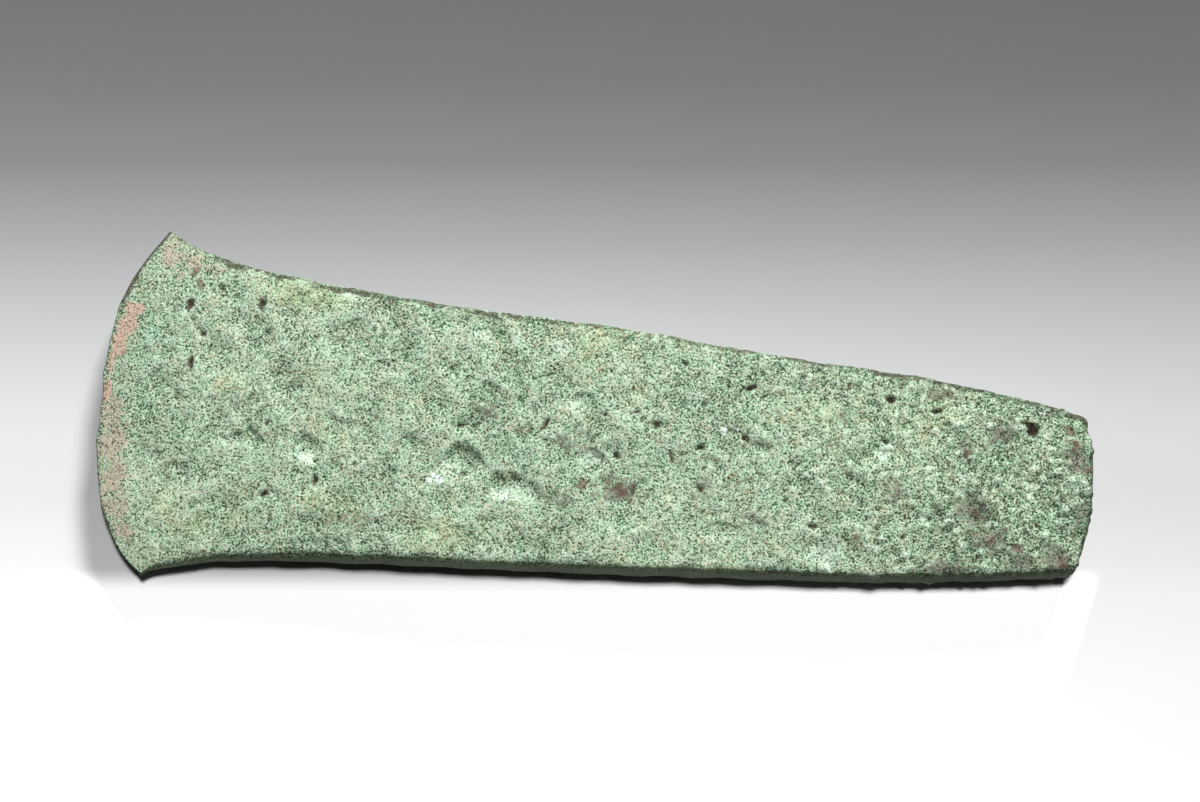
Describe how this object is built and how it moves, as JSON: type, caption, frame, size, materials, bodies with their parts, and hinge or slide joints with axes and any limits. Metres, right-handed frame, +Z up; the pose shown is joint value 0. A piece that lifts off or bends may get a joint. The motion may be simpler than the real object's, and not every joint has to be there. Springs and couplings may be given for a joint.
{
  "type": "bronze axe head",
  "caption": "Flat cast-bronze axe head with straight tapering sides, a blunt butt and a flared, curved cutting edge, under a green corrosion crust.",
  "frame": {"origin": "middle of the bounding box, on the surface that the axe head lies on", "axes": "+X from the cutting edge to the butt, +Y across the blade, +Z up through the thickness"},
  "size_m": [0.1502, 0.0526, 0.0115],
  "materials": {
    "patinated_bronze": "dull granular green corrosion crust over bronze, with brown bare spots"
  },
  "bodies": {
    "root": {"axe_head": "patinated_bronze"}
  },
  "joints": []
}
